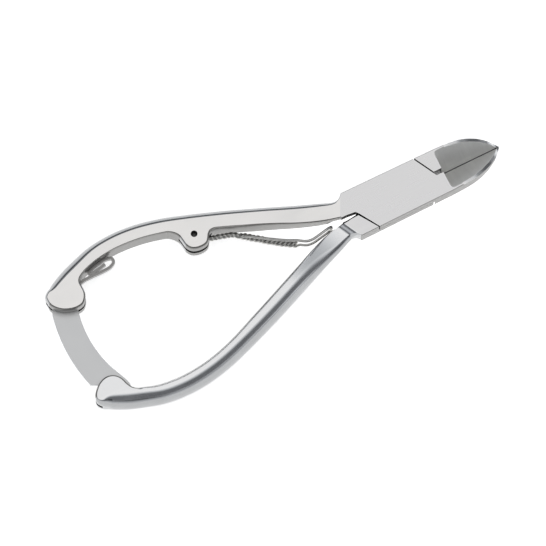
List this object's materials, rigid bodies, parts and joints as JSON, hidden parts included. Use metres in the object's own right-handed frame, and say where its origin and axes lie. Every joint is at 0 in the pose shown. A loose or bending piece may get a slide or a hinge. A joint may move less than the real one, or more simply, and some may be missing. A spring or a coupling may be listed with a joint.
{
  "type": "toenail nipper",
  "caption": "Lap-joint toenail nipper with bowed handles, wire return spring and a swinging bar that locks the handle ends together.",
  "frame": {"origin": "on the axis of the main rivet, at the flat back face of the joint", "axes": "+X towards the cutting tip, +Y towards the arm that carries the spring, +Z out of the front face"},
  "size_m": [0.1418, 0.0532, 0.0098],
  "materials": {
    "arm_steel": "ground stainless steel, satin faces and polished flanks",
    "lock_steel": "satin stainless sheet",
    "spring_wire": "drawn spring wire",
    "pin_steel": "turned steel pin, end ground flush"
  },
  "bodies": {
    "upper_arm": {"upper_arm": "arm_steel", "pivot_pin": "pin_steel", "spring_pin": "pin_steel", "lock_pivot_pin": "pin_steel", "lock_spring": "lock_steel"},
    "lower_arm": {"lower_arm": "arm_steel", "lock_catch_pin": "pin_steel"},
    "return_spring": {"spring": "spring_wire"},
    "tail_lock": {"lock_bar": "lock_steel"}
  },
  "joints": [
    {"name": "arm_opening", "type": "hinge", "parent": "upper_arm", "child": "lower_arm", "pos_m": [0, 0, 0.0034], "axis": [0, 0, 1], "range_deg": [0, 18]},
    {"name": "spring_swing", "type": "hinge", "parent": "upper_arm", "child": "return_spring", "pos_m": [-0.0587, 0.015, 0.0034], "axis": [0, 0, 1], "range_deg": [-14.1, 0]},
    {"name": "lock_swing", "type": "hinge", "parent": "upper_arm", "child": "tail_lock", "pos_m": [-0.1012, 0.0152, 0.0034], "axis": [0, 0, 1], "range_deg": [0, 80]}
  ],
  "couplings": [
    {"joint": "spring_swing", "follows": "arm_opening", "ratio": -0.78}
  ]
}
